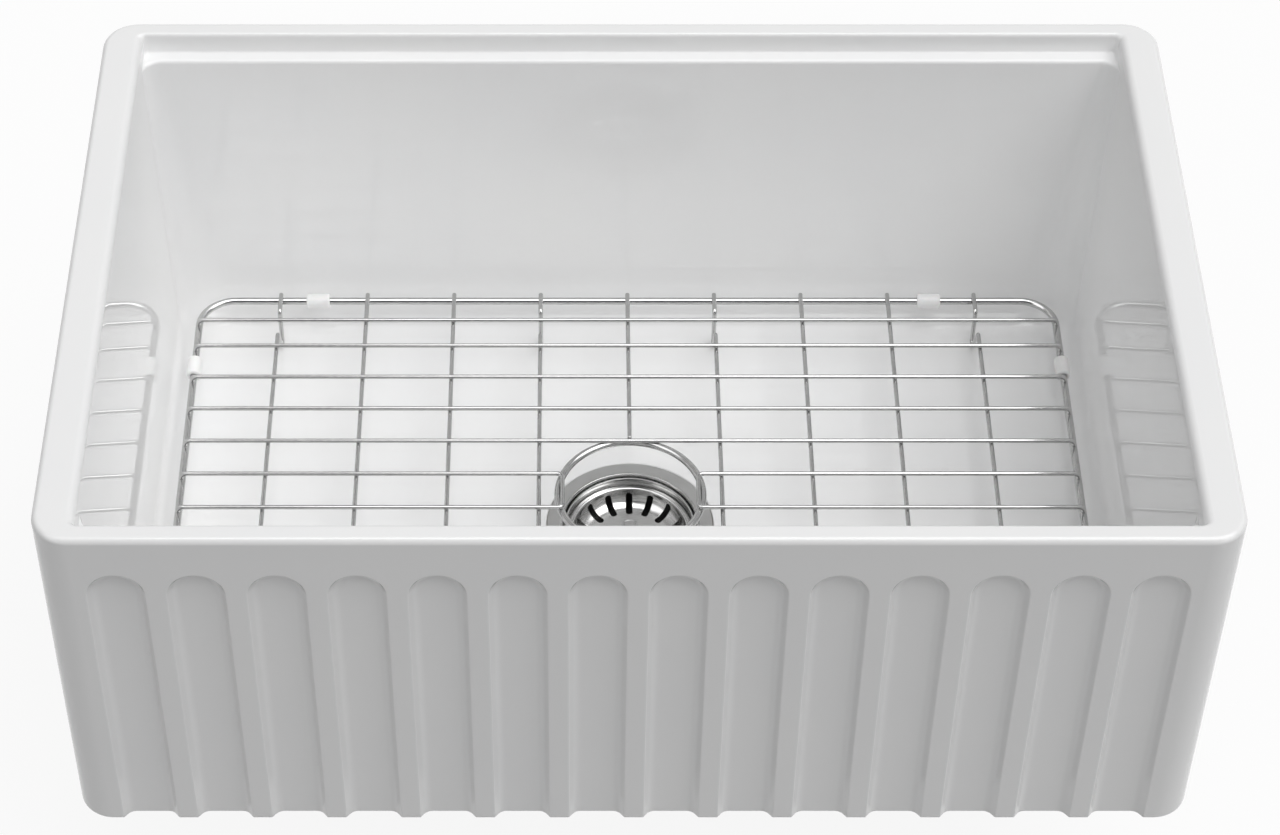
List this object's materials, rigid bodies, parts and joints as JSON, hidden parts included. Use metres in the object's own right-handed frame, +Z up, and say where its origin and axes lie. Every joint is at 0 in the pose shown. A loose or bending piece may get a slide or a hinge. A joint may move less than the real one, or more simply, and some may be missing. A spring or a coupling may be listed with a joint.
{
  "type": "farmhouse apron front sink",
  "caption": "White fireclay kitchen sink with a fluted apron front, accessory ledges, a lift-out wire bottom grid and a basket strainer with a pull stopper over a tailpiece.",
  "frame": {"origin": "on the drain's axis, in the plane of the basin's flat underside, where the cabinet carries it", "axes": "+X to the right seen from the fluted front, +Y to the back wall, +Z up out of the bowl"},
  "size_m": [0.686, 0.458, 0.3975],
  "materials": {
    "fireclay_glaze": "white fireclay under a clear gloss glaze, pooled softly at every edge",
    "grid_wire": "electropolished stainless wire",
    "bumper_plastic": "soft white sleeve, satin",
    "strainer_steel": "pressed stainless, matt satin flange and bright spun throat",
    "basket_steel": "pressed stainless, bright satin",
    "knob_steel": "turned stainless, satin",
    "rod_steel": "turned stainless, bright",
    "bush_plastic": "moulded black plastic",
    "stopper_rubber": "moulded black rubber",
    "seal_rubber": "grey foam rubber",
    "gasket_rubber": "moulded black rubber",
    "fibre_ring": "pressed brown fibre board",
    "nut_zinc": "cast zinc, dull plated",
    "washer_plastic": "natural polythene",
    "tailpiece_chrome": "chrome plated brass tube",
    "coupling_chrome": "chrome plated cast nut"
  },
  "bodies": {
    "sink": {"sink_basin": "fireclay_glaze", "strainer_body": "strainer_steel", "flange_seal": "seal_rubber", "drain_gasket": "gasket_rubber", "friction_ring": "fibre_ring", "lock_nut": "nut_zinc", "tailpiece_washer": "washer_plastic", "tailpiece": "tailpiece_chrome", "coupling_nut": "coupling_chrome"},
    "grid": {"grid_frame_back": "grid_wire", "grid_frame_front": "grid_wire", "grid_frame_left": "grid_wire", "grid_frame_right": "grid_wire", "grid_drain_ring": "grid_wire", "grid_turned_wire_left": "grid_wire", "grid_turned_wire_right": "grid_wire", "grid_long_wire_1": "grid_wire", "grid_long_wire_2": "grid_wire", "grid_long_wire_3": "grid_wire", "grid_long_wire_4": "grid_wire", "grid_long_wire_6": "grid_wire", "grid_long_wire_7": "grid_wire", "grid_long_wire_8": "grid_wire", "grid_long_wire_9": "grid_wire", "grid_long_wire_5_back": "grid_wire", "grid_long_wire_5_front": "grid_wire", "grid_cross_wire_back_1": "grid_wire", "grid_cross_wire_back_2": "grid_wire", "grid_cross_wire_back_3": "grid_wire", "grid_cross_wire_back_4": "grid_wire", "grid_cross_wire_back_5": "grid_wire", "grid_cross_wire_front_1": "grid_wire", "grid_cross_wire_front_2": "grid_wire", "grid_cross_wire_front_3": "grid_wire", "grid_cross_wire_front_4": "grid_wire", "grid_cross_wire_front_5": "grid_wire", "bumper_back_left": "bumper_plastic", "bumper_back_right": "bumper_plastic", "bumper_front_left": "bumper_plastic", "bumper_front_right": "bumper_plastic", "bumper_side_back_left": "bumper_plastic", "bumper_side_back_right": "bumper_plastic", "bumper_side_front_left": "bumper_plastic", "bumper_side_front_right": "bumper_plastic"},
    "basket": {"basket_cup": "basket_steel", "basket_bush": "bush_plastic"},
    "stopper": {"stopper_knob": "knob_steel", "stopper_rod": "rod_steel", "stopper_disc": "stopper_rubber", "stopper_washer": "rod_steel", "stopper_nut": "rod_steel"}
  },
  "joints": [
    {"name": "grid_lift", "type": "slide", "parent": "sink", "child": "grid", "axis": [0, 0, 1], "range_m": [0, 0.3]},
    {"name": "basket_lift", "type": "slide", "parent": "sink", "child": "basket", "axis": [0, 0, 1], "range_m": [0, 0.42]},
    {"name": "stopper_pull", "type": "slide", "parent": "basket", "child": "stopper", "axis": [0, 0, 1], "range_m": [0, 0.008]}
  ]
}
